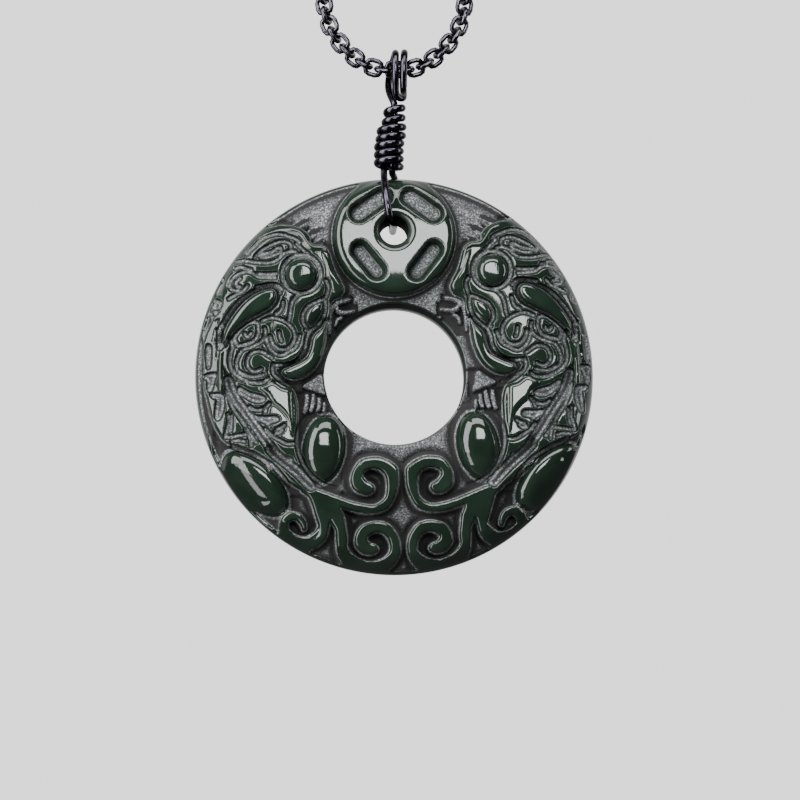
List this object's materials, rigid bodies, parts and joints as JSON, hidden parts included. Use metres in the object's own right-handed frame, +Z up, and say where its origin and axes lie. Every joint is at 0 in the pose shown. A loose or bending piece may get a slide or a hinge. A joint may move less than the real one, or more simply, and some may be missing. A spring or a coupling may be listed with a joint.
{
  "type": "pixiu pendant necklace",
  "caption": "Carved stone ring pendant with a pair of mirrored pixiu and a coin, hung by a wrapped wire bail on a loop of fine chain.",
  "frame": {"origin": "the middle of the chain where it lies on the back of the neck, with the necklace hanging from it", "axes": "+Z up, the carved front faces -Y, X runs from side to side of the loop"},
  "size_m": [0.1258, 0.0123, 0.3146],
  "materials": {
    "stone": "dark green stone, polished on the raised carving and matt in its ground",
    "wire": "polished gunmetal plating",
    "chain": "gunmetal plating, slightly worn"
  },
  "bodies": {
    "necklace": {"chain": "chain", "clasp": "chain"},
    "bail": {"bail_wire": "wire", "wire_wrap": "wire"},
    "stone": {"disc": "stone"}
  },
  "joints": [
    {"name": "bail_swing", "type": "hinge", "parent": "necklace", "child": "bail", "pos_m": [0, 0, -0.2485], "axis": [1, 0, 0], "range_deg": [-90, 90]},
    {"name": "stone_sway", "type": "hinge", "parent": "bail", "child": "stone", "pos_m": [0, 0, -0.2687], "axis": [0, 1, 0], "range_deg": [-10, 10]}
  ]
}
